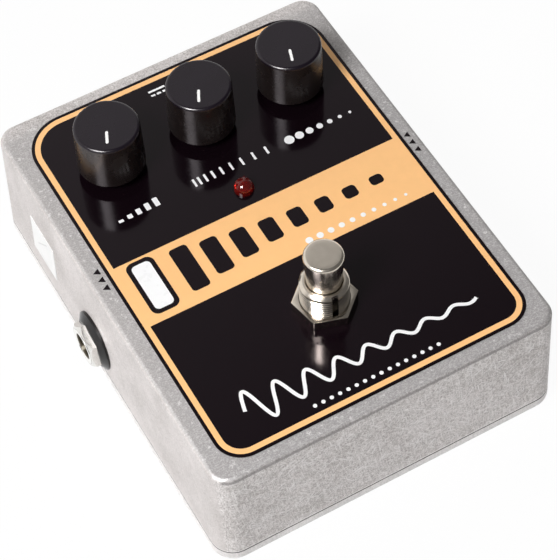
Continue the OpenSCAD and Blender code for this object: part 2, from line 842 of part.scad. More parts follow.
// Button: round head, flared neck, barrel that runs in the bushing, thin stem with a stop collar.
module switch_button() {
    head_z = button_top_z - button_head_h;
    centre = [button_d / 2 - button_fillet, button_top_z - button_fillet];
    color("lightgray") translate([0, switch_y, 0]) rotate_extrude() {
        polygon([
            [0, stem_z], [stem_d / 2, stem_z],
            [stem_d / 2, stop_top_z - stem_stop_t], [stem_stop_d / 2, stop_top_z - stem_stop_t],
            [stem_stop_d / 2, stop_top_z], [stem_d / 2, stop_top_z], [stem_d / 2, barrel_z],
            [barrel_d / 2, barrel_z], [barrel_d / 2, barrel_top_z], [button_foot_d / 2, head_z],
            [button_d / 2, centre[1]], centre, [centre[0], button_top_z], [0, button_top_z]
        ]);
        translate(centre) circle(button_fillet);
    }
}

// Return spring: one wire wound from the bushing's floor to the barrel's foot.
module switch_spring() {
    steps = 16;
    sides = 6;
    count = spring_turns * steps;
    foot = switch_floor_z + spring_wire_d / 2;
    rise = barrel_z - switch_floor_z - spring_wire_d;
    points = [
        for (i = [0:count], j = [0:sides - 1])
            let (a = 360 * i / steps, b = 360 * j / sides)
            let (r = spring_d / 2 + spring_wire_d / 2 * cos(b))
            [r * cos(a), r * sin(a), foot + rise * i / count + spring_wire_d / 2 * sin(b)]
    ];
    side_faces = [
        for (i = [0:count - 1], j = [0:sides - 1])
            let (k = (j + 1) % sides, low = i * sides, high = low + sides)
            for (face = [[low + j, low + k, high + k], [low + j, high + k, high + j]]) face
    ];
    first_cap = [for (j = [1:sides - 2]) [0, j + 1, j]];
    last_cap = [for (j = [1:sides - 2]) [count * sides, count * sides + j, count * sides + j + 1]];
    color("silver") translate([0, switch_y, 0])
        polyhedron(points, concat(side_faces, first_cap, last_cap));
}

// Threaded bushing with a plain ring on top, a keyway in front and a floor for the spring.
module switch_bushing() {
    ring_z = switch_top_z - switch_ring_h;
    color("silver") translate([0, switch_y, 0]) difference() {
        union() {
            translate([0, 0, housing_top_z]) cylinder(ring_z - housing_top_z, r = switch_bushing_d / 2);
            translate([0, 0, ring_z]) cylinder(switch_ring_h, r = switch_ring_d / 2);
        }
        translate([0, 0, switch_floor_z]) cylinder(far, r = switch_bore_r);
        translate([0, 0, housing_top_z - over]) cylinder(far, r = stem_d / 2 + barrel_fit);
        rotate(keyway_turn) translate([-keyway_w / 2, -switch_bushing_d, housing_top_z - over])
            cube([keyway_w, switch_bushing_d / 2 + keyway_h, ring_z - housing_top_z + over]);
    }
}

module switch_nut() {
    color("silver") translate([0, switch_y, top_z]) rotate(switch_nut_turn)
        nut(switch_nut_af, switch_nut_t, switch_bushing_d / 2 + seat_gap);
}

module switch_inner_nut() {
    color("silver") translate([0, switch_y, inner_nut_z])
        nut(switch_nut_af, inner_nut_t, switch_bushing_d / 2 + seat_gap);
}

module switch_lock_washer() {
    color("silver") translate([0, switch_y, lock_washer_z]) difference() {
        cylinder(lock_washer_t, r = lock_washer_d / 2);
        translate([0, 0, -over])
            cylinder(lock_washer_t + 2 * over, r = switch_bushing_d / 2 + seat_gap);
    }
}

module at_lugs() {
    for (x = lug_row, y = lug_row)
        translate([x, switch_y + y, 0]) children();
}

module lug(extra) {
    low = lug_foot_z - extra;
    high = housing_z + housing_wall + lug_rise + extra;
    translate([-lug_w / 2 - extra, -lug_t / 2 - extra, low])
        cube([lug_w + 2 * extra, lug_t + 2 * extra, high - low]);
}

module switch_housing() {
    room_w = housing_w - 2 * housing_wall;
    color("royalblue") difference() {
        translate([-housing_w / 2, switch_y - housing_w / 2, housing_z])
            cube([housing_w, housing_w, housing_h]);
        translate([-room_w / 2, switch_y - room_w / 2, housing_z + housing_wall])
            cube([room_w, room_w, housing_h - 2 * housing_wall]);
        translate([0, switch_y, housing_z + housing_h / 2]) cylinder(far, r = stem_d / 2 + rotor_gap);
        at_lugs() lug(seat_gap);
    }
}

module switch_lugs() {
    color("goldenrod") at_lugs() lug(0);
}

// A quarter turn of wire round an axis along X, from the given angle in the upright plane.
module wire_turn(from) {
    rotate([90, 0, 90]) rotate(from) rotate_extrude(angle = 90)
        translate([wire_bend, 0]) circle(wire_d / 2);
}

// Three wires soldered behind the rear lugs: they drop, run back near the base and turn up
// to the board.
module switch_wires() {
    leg_y = switch_y + lug_pitch + lug_t / 2 + wire_d / 2;
    pad_y = board_front + wire_pad_inset;
    turn_z = wire_run_z + wire_bend;
    color("firebrick")
        for (x = lug_row) translate([x, 0, 0]) {
            translate([0, leg_y, turn_z])
                cylinder(housing_z - lug_l / 2 - turn_z, r = wire_d / 2);
            translate([0, leg_y + wire_bend, turn_z]) wire_turn(180);
            translate([0, leg_y + wire_bend, wire_run_z])
                along_y() cylinder(pad_y - leg_y - 2 * wire_bend, r = wire_d / 2);
            translate([0, pad_y - wire_bend, turn_z]) wire_turn(-90);
            translate([0, pad_y, turn_z]) cylinder(board_z - turn_z, r = wire_d / 2);
        }
}

// Threaded sleeve of a jack, with its plug hole right through and a bevelled mouth.
module jack_sleeve(side) {
    length = jack_wall_x + sleeve_reach - jack_inner_x;
    color("silver") at_jack(side) translate([jack_inner_x, 0, 0]) along_x() difference() {
        cylinder(length, r = sleeve_d / 2);
        translate([0, 0, -over]) cylinder(length + 2 * over, r = jack_bore_d / 2);
        translate([0, 0, length - mouth_bevel])
            cylinder(2 * mouth_bevel, r1 = jack_bore_d / 2, r2 = jack_bore_d / 2 + 2 * mouth_bevel);
    }
}

// Round collar between the nut and the wall, cut to the wall's slant at its back.
module jack_collar(side) {
    hole_r = sleeve_d / 2 + seat_gap;
    color("#181818") difference() {
        at_jack(side) translate([jack_wall_x, 0, 0]) along_x() rotate_extrude() polygon([
            [hole_r, -collar_bite], [collar_d / 2, -collar_bite], [collar_d / 2, collar_rim],
            [collar_front_d / 2, collar_t], [hole_r, collar_t]
        ]);
        case_block();
    }
}

module jack_nut(side) {
    cone_r = jack_nut_face_d / 2 + jack_nut_t / tan(jack_nut_bevel);
    color("silver") at_jack(side) translate([jack_wall_x + collar_t, 0, 0]) along_x() intersection() {
        rotate(jack_nut_turn) nut(jack_nut_af, jack_nut_t, sleeve_d / 2 + seat_gap);
        cylinder(jack_nut_t, r1 = cone_r, r2 = jack_nut_face_d / 2);
    }
}

// Moulded body behind the wall, open to the sleeve, with slots for the contact strips.
module jack_body(side) {
    room_l = jack_body_l - jack_rear_t;
    slot_w = strip_w + 2 * seat_gap;
    slot_t = strip_t + 2 * seat_gap;
    color("#202020") at_jack(side) difference() {
        translate([jack_rear_x, -jack_body_w / 2, -jack_body_h / 2])
            cube([jack_body_l, jack_body_w, jack_body_h]);
        translate([jack_rear_x + jack_rear_t, 0, 0])
            along_x() cylinder(room_l + over, r = jack_room_d / 2);
        for (s = [-1, 1])
            translate([jack_rear_x - over, s * strip_seat - slot_t / 2, -slot_w / 2])
                cube([jack_rear_t + 2 * over, slot_t, slot_w]);
    }
}

// Path of a contact strip in plan: along the room's wall, with a knee that presses on the plug.
module strip_plan(s) {
    knee = jack_bore_d / 2;
    rear = jack_rear_x - strip_w;
    points = [
        [rear, strip_seat], [jack_rear_x + jack_body_l / 3, strip_seat],
        [jack_rear_x + jack_body_l / 2, knee], [jack_rear_x + 2 * jack_body_l / 3, strip_seat]
    ];
    inner = [for (p = points) [p[0], s * (p[1] - strip_t / 2)]];
    outer = [for (i = [3:-1:0]) [points[i][0], s * (points[i][1] + strip_t / 2)]];
    polygon(concat(inner, outer));
}

module jack_contacts(side) {
    color("goldenrod") at_jack(side)
        for (s = [-1, 1])
            translate([0, 0, -strip_w / 2]) linear_extrude(strip_w) strip_plan(s);
}

// Power socket: a square body under the board with a round nose in the rear wall.
module dc_socket_body() {
    color("#1a1a1a") translate([dc_x, 0, 0]) difference() {
        union() {
            translate([-dc_w / 2, dc_rear_y, board_z - dc_h]) cube([dc_w, dc_l, dc_h]);
            translate([0, dc_front_y, dc_z])
                along_y() cylinder(dc_mouth_y - dc_front_y, r = dc_nose_d / 2);
        }
        translate([0, dc_bore_floor, dc_z]) along_y() cylinder(far, r = dc_bore_d / 2);
        translate([0, dc_bore_floor - dc_pin_tail, dc_z])
            along_y() cylinder(far, r = dc_pin_d / 2 + dc_pin_step + seat_gap);
    }
}

// Centre pin, with a wider root that sits in the floor of the plug hole.
module dc_socket_pin() {
    color("silver") translate([dc_x, dc_bore_floor - dc_pin_tail, dc_z]) along_y() {
        cylinder(dc_pin_tail + dc_pin_root, r = dc_pin_d / 2 + dc_pin_step);
        cylinder(dc_pin_tail + dc_bore_l - dc_pin_back, r = dc_pin_d / 2);
    }
}

// Side spring on the floor of the socket's hole, which touches the plug's barrel.
module dc_socket_spring() {
    length = dc_bore_l / 2;
    color("goldenrod") translate([dc_x, dc_bore_floor, dc_z]) intersection() {
        translate([-dc_spring_w / 2, 0, -dc_bore_d / 2]) cube([dc_spring_w, length, 2 * dc_spring_t]);
        along_y() difference() {
            cylinder(length, r = dc_bore_d / 2);
            translate([0, 0, -over]) cylinder(length + 2 * over, r = dc_bore_d / 2 - dc_spring_t);
        }
    }
}

module circuit_board() {
    color("darkgreen") translate([-board_half_w, board_front, board_z])
        cube([2 * board_half_w, board_rear - board_front, board_t]);
}

// A chip that hangs under the board on two rows of pins.
module chip(length, width, pins) {
    first = -(pins - 1) / 2 * chip_pin_pitch;
    row = width / 2 - chip_pin_w;
    translate([-length / 2, -width / 2, -chip_gap - chip_t]) cube([length, width, chip_t]);
    for (i = [0:pins - 1], s = [-1, 1])
        translate([first + i * chip_pin_pitch, s * row, -chip_gap / 2])
            cube([chip_pin_w, chip_pin_w, chip_gap], center = true);
}

module delay_chip() {
    color("#222226") translate([0, board_front + delay_chip_inset + delay_chip_l / 2, board_z])
        rotate(90) chip(delay_chip_l, delay_chip_w, delay_chip_pins);
}

module amplifier_chips() {
    color("#222226")
        for (x = column_x)
            translate([x, amp_chip_y, board_z])
                rotate(90) chip(amp_chip_l, amp_chip_w, amp_chip_pins);
}

module electrolytic_capacitors() {
    color("#223366")
        for (x = column_x)
            translate([x, electro_y, board_z - electro_h])
                cylinder(electro_h, r = electro_d / 2);
}

module film_capacitors() {
    color("firebrick")
        for (x = column_x)
            translate([x - film_l / 2, board_front + film_inset, board_z - film_h])
                cube([film_l, film_w, film_h]);
}

module resistors() {
    color("burlywood")
        for (x = resistor_x)
            translate([x, resistor_y, board_z - resistor_d / 2])
                along_y() cylinder(resistor_l, r = resistor_d / 2);
}

// Voltage regulator: a half-round block on three legs, beside the power socket.
module regulator() {
    color("#222226") translate([dc_w + regulator_d, board_rear - regulator_d, board_z]) {
        translate([0, 0, -regulator_gap - regulator_h]) linear_extrude(regulator_h) difference() {
            circle(regulator_d / 2);
            translate([-regulator_d, regulator_d / 4]) square(2 * regulator_d);
        }
        for (i = [-1:1])
            translate([i * lead_pitch / 2 - lead_t / 2, -lead_t / 2, -regulator_gap])
                cube([lead_t, lead_t, regulator_gap]);
    }
}

enclosure();
base_plate();
base_screws();
face_black();
face_orange();
side_label();
knob(mix_x, mix_rest);  // mix_knob
pointer(mix_x, mix_rest);  // mix_pointer
shaft(mix_x);  // mix_shaft
pot_bushing(mix_x);  // mix_pot_bushing
pot_can(mix_x);  // mix_pot_can
knob(time_x, time_rest);  // time_knob
pointer(time_x, time_rest);  // time_pointer
shaft(time_x);  // time_shaft
pot_bushing(time_x);  // time_pot_bushing
pot_can(time_x);  // time_pot_can
knob(repeats_x, repeats_rest);  // repeats_knob
pointer(repeats_x, repeats_rest);  // repeats_pointer
shaft(repeats_x);  // repeats_shaft
pot_bushing(repeats_x);  // repeats_pot_bushing
pot_can(repeats_x);  // repeats_pot_can
pot_wafers();
pot_terminals();
pot_nuts();
pot_washers();
lamp_lens();
lamp_leads();
switch_button();
switch_spring();
switch_bushing();
switch_nut();
switch_inner_nut();
switch_lock_washer();
switch_housing();
switch_lugs();
switch_wires();
jack_sleeve(-1);  // output_jack_sleeve
jack_collar(-1);  // output_jack_collar
jack_nut(-1);  // output_jack_nut
jack_body(-1);  // output_jack_body
jack_contacts(-1);  // output_jack_contacts
jack_sleeve(1);  // input_jack_sleeve
jack_collar(1);  // input_jack_collar
jack_nut(1);  // input_jack_nut
jack_body(1);  // input_jack_body
jack_contacts(1);  // input_jack_contacts
dc_socket_body();
dc_socket_pin();
dc_socket_spring();
circuit_board();
delay_chip();
amplifier_chips();
electrolytic_capacitors();
film_capacitors();
resistors();
regulator();
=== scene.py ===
"""Delay pedal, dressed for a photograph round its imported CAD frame. Metres, +Z up, footswitch end at -Y."""
import math

import bpy
from mathutils import Matrix, Vector


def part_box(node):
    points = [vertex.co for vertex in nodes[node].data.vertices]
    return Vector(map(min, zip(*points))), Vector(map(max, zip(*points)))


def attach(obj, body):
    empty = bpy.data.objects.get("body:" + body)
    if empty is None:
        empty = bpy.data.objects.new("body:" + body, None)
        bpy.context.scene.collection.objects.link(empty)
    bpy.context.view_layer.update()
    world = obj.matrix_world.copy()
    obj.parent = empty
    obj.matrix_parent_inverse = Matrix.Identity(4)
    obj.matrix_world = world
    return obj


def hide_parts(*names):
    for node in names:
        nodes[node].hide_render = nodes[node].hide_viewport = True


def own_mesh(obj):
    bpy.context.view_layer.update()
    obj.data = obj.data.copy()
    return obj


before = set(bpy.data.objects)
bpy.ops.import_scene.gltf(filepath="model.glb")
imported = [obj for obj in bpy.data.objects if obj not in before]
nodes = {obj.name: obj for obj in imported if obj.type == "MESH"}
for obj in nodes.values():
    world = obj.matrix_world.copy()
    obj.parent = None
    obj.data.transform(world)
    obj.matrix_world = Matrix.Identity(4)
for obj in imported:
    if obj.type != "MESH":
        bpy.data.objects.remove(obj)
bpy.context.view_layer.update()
bpy.ops.object.select_all(action="DESELECT")
bpy.context.scene.view_settings.view_transform = "Standard"

# Camera
# A long lens at the photograph's angle, from above and a little to the left of the
# footswitch end. The axes are the picture's right, its up, and the way back to the camera.
camera_place = (-0.13719, -0.27883, 0.45287)
right_axis = (0.8716106, -0.4890780, -0.0331308)
up_axis = (0.4176069, 0.7054449, 0.5726709)
back_axis = (-0.2567088, -0.5129816, 0.8191157)
lens_data = bpy.data.cameras.new("studio_camera")
lens_data.lens = 138.59
lens_data.sensor_width = 36
lens_data.clip_start = 0.01
camera = bpy.data.objects.new("studio_camera", lens_data)
bpy.context.scene.collection.objects.link(camera)
camera.matrix_world = (Matrix.Translation(camera_place)
                       @ Matrix((right_axis, up_axis, back_axis)).transposed().to_4x4())
bpy.context.scene.camera = camera

# Studio
# A wide white table under the pedal, a dim room that is bright low behind it, and one softbox high
# on the left, whose face is as bright in shiny pieces as a lamp is. The table shows white to the
# camera and in the metal, and keeps a faint shadow.


def place(tree, kind, settings=None, ins=(), **sockets):
    """Adds a node to a tree, sets its options, and fills its sockets with values or with links."""
    made = tree.nodes.new(kind)
    for key, value in (settings or {}).items():
        setattr(made, key, value)
    pairs = list(enumerate(ins)) + [(key.replace("_", " "), value) for key, value in sockets.items()]
    for key, value in pairs:
        if isinstance(value, bpy.types.NodeSocket):
            tree.links.new(value, made.inputs[key])
        else:
            made.inputs[key].default_value = value
    return made


def sums(tree, kind, a, b=0.0):
    """One arithmetic step on one or two values."""
    return place(tree, "ShaderNodeMath", {"operation": kind}, ins=[a, b]).outputs[0]


def minus(tree, a, b):
    """The second value taken from the first."""
    return sums(tree, "SUBTRACT", a, b)


def times(tree, a, b):
    """Two values or masks multiplied."""
    return sums(tree, "MULTIPLY", a, b)


def larger(tree, a, b):
    """The larger of two values, or either of two masks."""
    return sums(tree, "MAXIMUM", a, b)


def ramp(tree, value, low, high, to_low=0.0, to_high=1.0, kind="LINEAR"):
    """A value led from the range low to high onto to_low to to_high, and held at its ends."""
    return place(tree, "ShaderNodeMapRange", {"interpolation_type": kind},
                 ins=[value, low, high, to_low, to_high]).outputs[0]


table_r = 4
table_paint = 0.8
table_glow = 0.95
bpy.ops.mesh.primitive_circle_add(vertices=96, radius=table_r, fill_type="NGON", location=(0, 0, 0))
sweep = bpy.context.object
sweep.name = "white_sweep"
sweep_paint = bpy.data.materials.new("white_sweep")
sweep_paint.use_nodes = True
tree = sweep_paint.node_tree
tree.nodes.clear()
rays = place(tree, "ShaderNodeLightPath").outputs
seen = larger(tree, rays["Is Camera Ray"], rays["Is Glossy Ray"])
seen = larger(tree, seen, rays["Is Transmission Ray"])
paper = place(tree, "ShaderNodeBsdfDiffuse", Color=(table_paint, table_paint, table_paint, 1)).outputs[0]
glow = place(tree, "ShaderNodeEmission", Color=(1, 1, 1, 1), Strength=1.0).outputs[0]
mixed = place(tree, "ShaderNodeMixShader", ins=[times(tree, seen, table_glow), paper, glow]).outputs[0]
place(tree, "ShaderNodeOutputMaterial", Surface=mixed)
sweep.data.materials.append(sweep_paint)

room_dim = 0.13
room_bright = 1.0
room = bpy.data.worlds.new("dim_room")
room.use_nodes = True
bpy.context.scene.world = room
tree = room.node_tree
tree.nodes.clear()
rays = place(tree, "ShaderNodeLightPath").outputs
way = place(tree, "ShaderNodeTexCoord").outputs["Generated"]
way_x, way_y, way_z = place(tree, "ShaderNodeSeparateXYZ", Vector=way).outputs

# The room is bright towards the rear, low down, and a little more to the left.
lower = minus(tree, minus(tree, way_y, times(tree, way_z, 0.6)), times(tree, way_x, 0.3))
edge = ramp(tree, lower, -0.2, 0.18)
behind = ramp(tree, way_y, 0.0, 0.4)
level = ramp(tree, times(tree, edge, behind), 0.0, 1.0, room_dim, room_bright)
wall_light = place(tree, "ShaderNodeBackground", Color=(1.0, 0.98, 0.96, 1), Strength=level).outputs[0]
white_light = place(tree, "ShaderNodeBackground", Color=(1, 1, 1, 1), Strength=1.0).outputs[0]
mixed = place(tree, "ShaderNodeMixShader", ins=[rays["Is Camera Ray"], wall_light, white_light]).outputs[0]
place(tree, "ShaderNodeOutputWorld", Surface=mixed)

softbox_way = Vector((-0.60, -0.255, 0.76)).normalized()
softbox_aim = Vector((0, 0, 0.03))
for name, watts, distance in (("softbox", 8.6, 0.9), ("softbox_face", 21.0, 0.87)):
    softbox = bpy.data.lights.new(name, "AREA")
    softbox.shape = "RECTANGLE"
    softbox.size = 0.3
    softbox.size_y = 0.34
    softbox.energy = watts
    softbox_stand = bpy.data.objects.new(name, softbox)
    bpy.context.scene.collection.objects.link(softbox_stand)
    softbox_stand.matrix_world = (Matrix.Translation(softbox_aim + distance * softbox_way)
                                  @ softbox_way.to_track_quat("Z", "Y").to_matrix().to_4x4())
    softbox_stand.visible_diffuse = name == "softbox"
    softbox_stand.visible_glossy = name == "softbox_face"
    softbox_stand.visible_transmission = name == "softbox_face"

# Case
# A drafted die-cast aluminium box, tumbled and left bare, with a flat plate screwed on below.
# The tumbling leaves a fine grain, short scratches in all directions and bright rubbed edges.
mm = 0.001
rim_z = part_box("enclosure")[1].z
plate_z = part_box("enclosure")[0].z
seam_z = plate_z + 0.3 * mm
flat_x = 44.3 * mm
flat_y = 57.9 * mm
scratch_white = (0.9, 0.885, 0.88)


def finish(name, **sockets):
    """A new material with plain values on its shader's own sockets. Returns it, its tree and its shader."""
    material = bpy.data.materials.new(name)
    material.use_nodes = True
    shader = material.node_tree.nodes["Principled BSDF"]
    for key, value in sockets.items():
        shader.inputs[key.replace("_", " ")].default_value = value
    return material, material.node_tree, shader


def dress(material, *names):
    """Gives CAD nodes a finish in place of the plain one they came with."""
    for name in names:
        mesh = nodes[name].data
        mesh.materials.clear()
        mesh.materials.append(material)


def own_spot(tree):
    """Where a point lies on the object, in metres."""
    return place(tree, "ShaderNodeTexCoord").outputs["Object"]


def noise(tree, spot, scale, detail=2.0, roughness=0.5):
    """A cloudy pattern round 0.5, with scale cells to the metre."""
    return place(tree, "ShaderNodeTexNoise", Vector=spot, Scale=scale, Detail=detail,
                 Roughness=roughness).outputs[0]


def plus(tree, a, b):
    """Two values added."""
    return sums(tree, "ADD", a, b)


def stepped(tree, value, low, high, to_low=0.0, to_high=1.0):
    """A smooth step of a value from to_low, at low, to to_high, at high."""
    return ramp(tree, value, low, high, to_low, to_high, "SMOOTHSTEP")


def by_mask(tree, mask, off, on):
    """A value that is off where a mask is 0 and on where it is 1."""
    return stepped(tree, mask, 0.0, 1.0, off, on)


def between(tree, value, rise, fall):
    """A mask that comes up over one pair of places and goes down over another."""
    return times(tree, stepped(tree, value, *rise), stepped(tree, value, *fall, 1.0, 0.0))


def tinted(tree, share, low, high):
    """A colour between two, each an RGB triple or a link."""
    made = place(tree, "ShaderNodeMix", {"data_type": "RGBA"}, ins=[share])
    for socket, colour in ((made.inputs[6], low), (made.inputs[7], high)):
        if isinstance(colour, bpy.types.NodeSocket):
            tree.links.new(colour, socket)
        else:
            socket.default_value = tuple(colour) + (1,)
    return made.outputs[2]


def coat(tree, shader, colour, roughness=None, relief=None, strength=0.0, depth=0.0):
    """Feeds a shader its colour and, where they change over the surface, its roughness and its relief."""
    tree.links.new(colour, shader.inputs["Base Color"])
    if roughness is not None:
        tree.links.new(roughness, shader.inputs["Roughness"])
    if relief is not None:
        bump = place(tree, "ShaderNodeBump", Strength=strength, Distance=depth, Height=relief)
        tree.links.new(bump.outputs[0], shader.inputs["Normal"])


def effect(name, gives, takes=()):
    """Starts an effect that materials share: a node group. Returns it and the sockets it is given."""
    group = bpy.data.node_groups.new(name, "ShaderNodeTree")
    group.interface.new_socket("Vector", in_out="INPUT", socket_type="NodeSocketVector")
    for key in takes:
        group.interface.new_socket(key, in_out="INPUT", socket_type="NodeSocketFloat")
    for key in gives:
        group.interface.new_socket(key, in_out="OUTPUT", socket_type="NodeSocketFloat")
    return group, group.nodes.new("NodeGroupInput").outputs


def put_out(group, **values):
    """Ends a shared effect by linking its values to its outputs."""
    end = group.nodes.new("NodeGroupOutput")
    for key, value in values.items():
        group.links.new(value, end.inputs[key])


def shared(tree, group, spot, **takes):
    """Places a shared effect in a material. Returns its outputs."""
    return place(tree, "ShaderNodeGroup", {"node_tree": group}, Vector=spot, **takes).outputs


tumbled, given = effect("tumbled_casting", ("Tone", "Strokes", "Scratches", "Flecks", "Height"))
spot = given["Vector"]
grain = noise(tumbled, spot, 2300.0, 2.0, 0.6)
cloud = noise(tumbled, spot, 120.0, 4.0, 0.6)
patch = stepped(tumbled, noise(tumbled, spot, 45.0, 2.0, 0.5), 0.3, 0.7)
flecks = stepped(tumbled, noise(tumbled, spot, 700.0, 4.0, 0.75), 0.585, 0.655)


def drawn_out(turn, width, length, low, high):
    """A mask of short strokes that all run one way, each about so wide and so long."""
    turned = place(tumbled, "ShaderNodeMapping", {"vector_type": "TEXTURE"}, Vector=spot, Rotation=turn,
                   Scale=(length, width, width)).outputs[0]
    return stepped(tumbled, noise(tumbled, turned, 1.0, 1.0, 0.4), low, high)


scratch_slants = (0.25, -0.45, 0.8, -1.0, 1.45)
stroke_turns = ((0.5, 0.9, 0.3), (-0.7, 0.4, 1.3), (1.2, -0.5, 2.3),
                (0.2, -1.1, 0.8), (-1.3, 0.2, 2.9), (0.9, 1.4, -0.6))
scratches = None
strokes = None
for slant in scratch_slants:
    lines = drawn_out((0, slant, 0), 0.3 * mm, 5 * mm, 0.605, 0.715)
    scratches = lines if scratches is None else larger(tumbled, scratches, lines)
for i, turn in enumerate(stroke_turns):
    lines = drawn_out(turn, 0.3 * mm, 3 * mm, 0.3, 0.7)
    lines = times(tumbled, lines, 1.0 if i % 2 else -1.0)
    strokes = lines if strokes is None else plus(tumbled, strokes, lines)
tone = plus(tumbled, times(tumbled, grain, 0.46), times(tumbled, cloud, 0.42))
tone = plus(tumbled, tone, times(tumbled, patch, 0.12))
height = plus(tumbled, times(tumbled, strokes, 0.5), times(tumbled, scratches, -0.5))
put_out(tumbled, Tone=tone, Strokes=strokes, Scratches=scratches, Flecks=flecks, Height=height)

casting, tree, shader = finish("bare_casting", Metallic=0.25, Specular_IOR_Level=0.5)
spot = own_spot(tree)
surface = shared(tree, tumbled, spot)
to_right, to_rear, up = place(tree, "ShaderNodeSeparateXYZ", Vector=spot).outputs
off_middle = sums(tree, "ABSOLUTE", to_right)
top_face = stepped(tree, up, rim_z - 0.5 * mm, rim_z - 0.1 * mm)
side_face = stepped(tree, off_middle, flat_x + 0.2 * mm, flat_x + 0.9 * mm)

# The rounded top edge is rubbed bright in nicks, more so on the left.
past_x = minus(tree, off_middle, flat_x)
past_y = minus(tree, sums(tree, "ABSOLUTE", to_rear), flat_y)
rim = times(tree, stepped(tree, larger(tree, past_x, past_y), -0.6 * mm, 0.1 * mm),
            stepped(tree, up, rim_z - 1.5 * mm, rim_z - 0.9 * mm))
nicks = stepped(tree, noise(tree, spot, 1700.0, 2.0, 0.6), 0.56, 0.68)
left_edge = stepped(tree, to_right, -44.0 * mm, -43.2 * mm, 0.32, 0.12)
rubbed = times(tree, times(tree, rim, left_edge), nicks)

# Light scratches show most on the front and rear walls, and flecks on the top. The side walls and
# the left of the rim are calmer.
wisps = times(tree, surface["Scratches"], by_mask(tree, top_face, 0.46, 0.28))
specks = times(tree, surface["Flecks"], by_mask(tree, top_face, 0.2, 0.5))
marked = times(tree, larger(tree, wisps, specks), by_mask(tree, side_face, 1.0, 0.25))
light = larger(tree, marked, rubbed)
worked = times(tree, surface["Strokes"], by_mask(tree, side_face, 0.2, 0.05))
shade = plus(tree, surface["Tone"], worked)
calm = times(tree, stepped(tree, to_right, -43.0 * mm, -39.5 * mm, 0.55, 0.0), top_face)
calm = minus(tree, 1.0, calm)
shade = plus(tree, times(tree, minus(tree, shade, 0.5), calm), 0.5)
metal = tinted(tree, stepped(tree, shade, 0.1, 0.9), (0.33, 0.303, 0.29), (0.68, 0.64, 0.633))

# The top is painted darker towards the front right, and the fold below its edge is painted dark in front and
# on the right: both are painted shade.
painted_top_shade = stepped(tree, minus(tree, to_rear, to_right), -30 * mm, 30 * mm, 0.86, 0.62)
painted_top_shade = times(tree, painted_top_shade, stepped(tree, to_rear, 53 * mm, 57 * mm, 1.0, 0.15))
metal = tinted(tree, times(tree, top_face, painted_top_shade), metal, (0.31, 0.298, 0.30))
metal = tinted(tree, light, metal, scratch_white)
away = larger(tree, stepped(tree, to_rear, -58.0 * mm, -57.4 * mm, 1.0, 0.0),
              stepped(tree, to_right, 43.8 * mm, 44.4 * mm))
fold = between(tree, up, (rim_z - 1.6 * mm, rim_z - 1.1 * mm), (rim_z - 0.7 * mm, rim_z - 0.2 * mm))
metal = tinted(tree, times(tree, times(tree, fold, away), 0.7), metal, (0.17, 0.162, 0.16))

# The lip over the seam is painted light as a painted highlight, and the seam itself is painted dark as
# painted shade.
painted_lip_highlight = between(tree, up, (seam_z, seam_z + 0.05 * mm), (seam_z + 0.3 * mm, seam_z + 0.7 * mm))
metal = tinted(tree, times(tree, painted_lip_highlight, 0.5), metal, (0.85, 0.83, 0.825))
painted_seam_shade = stepped(tree, up, seam_z - 0.08 * mm, seam_z + 0.02 * mm, 1.0, 0.0)
metal = tinted(tree, painted_seam_shade, metal, (0.05, 0.046, 0.042))
coat(tree, shader, metal, by_mask(tree, light, 0.5, 0.42), surface["Height"], 0.3, 0.03 * mm)
dress(casting, "enclosure")

plate, tree, shader = finish("base_casting", Metallic=0.25, Specular_IOR_Level=0.5)
spot = own_spot(tree)
surface = shared(tree, tumbled, spot)
up = place(tree, "ShaderNodeSeparateXYZ", Vector=spot).outputs[2]
shade = plus(tree, surface["Tone"], times(tree, surface["Strokes"], 0.15))
light = times(tree, surface["Scratches"], 0.25)
metal = tinted(tree, stepped(tree, shade, 0.2, 0.8), (0.58, 0.557, 0.549), (0.76, 0.731, 0.727))
metal = tinted(tree, light, metal, scratch_white)
# The top of the plate, in the seam, is painted dark as painted shade.
painted_ledge_shade = stepped(tree, up, plate_z - 0.07 * mm, plate_z - 0.02 * mm)
metal = tinted(tree, painted_ledge_shade, metal, (0.06, 0.054, 0.05))
coat(tree, shader, metal, by_mask(tree, light, 0.45, 0.33), surface["Height"], 0.15, 0.03 * mm)
dress(plate, "base_plate")

zinc, tree, shader = finish("zinc_plate", Metallic=1.0)
haze = noise(tree, own_spot(tree), 900.0, 3.0)
coat(tree, shader, tinted(tree, haze, (0.5, 0.51, 0.53), (0.68, 0.68, 0.68)),
     stepped(tree, haze, 0.3, 0.7, 0.24, 0.42))
dress(zinc, "base_screws", "pot_terminals", "lamp_leads")

# Printed face
# Two glossy inks, screen printed on the top: a black field and an orange band with its pinstripe.
# The ink follows the grain of the metal a little, so it mirrors the knobs softly.
ink_film, given = effect("ink_film", ("Cover", "Peel"))
put_out(ink_film, Cover=noise(ink_film, given["Vector"], 420.0, 3.0, 0.6),
        Peel=noise(ink_film, given["Vector"], 2400.0, 1.0))


def ink(name, colour, roughness, shine, cast=(1, 1, 1, 1)):
    """A glossy screen-printed ink, with the slight waviness that the metal's grain gives it."""
    material, tree, shader = finish(name, Specular_IOR_Level=shine, Specular_Tint=cast)
    film = shared(tree, ink_film, own_spot(tree))
    thin = [c * 0.96 for c in colour]
    thick = [min(1.0, c * 1.04) for c in colour]
    gloss = stepped(tree, film["Cover"], 0.3, 0.7, roughness * 0.85, roughness * 1.2)
    coat(tree, shader, tinted(tree, film["Cover"], thin, thick), gloss, film["Peel"], 0.1, 0.02 * mm)
    return material


black_ink = ink("black_ink", (0.0042, 0.0018, 0.0032), 0.1, 0.24, (1.0, 0.92, 0.98, 1))
orange_ink = ink("orange_ink", (0.92, 0.525, 0.225), 0.2, 0.4)
white_ink = ink("white_ink", (0.86, 0.86, 0.87), 0.3, 0.4)
dress(black_ink, "face_black")
dress(orange_ink, "face_orange")

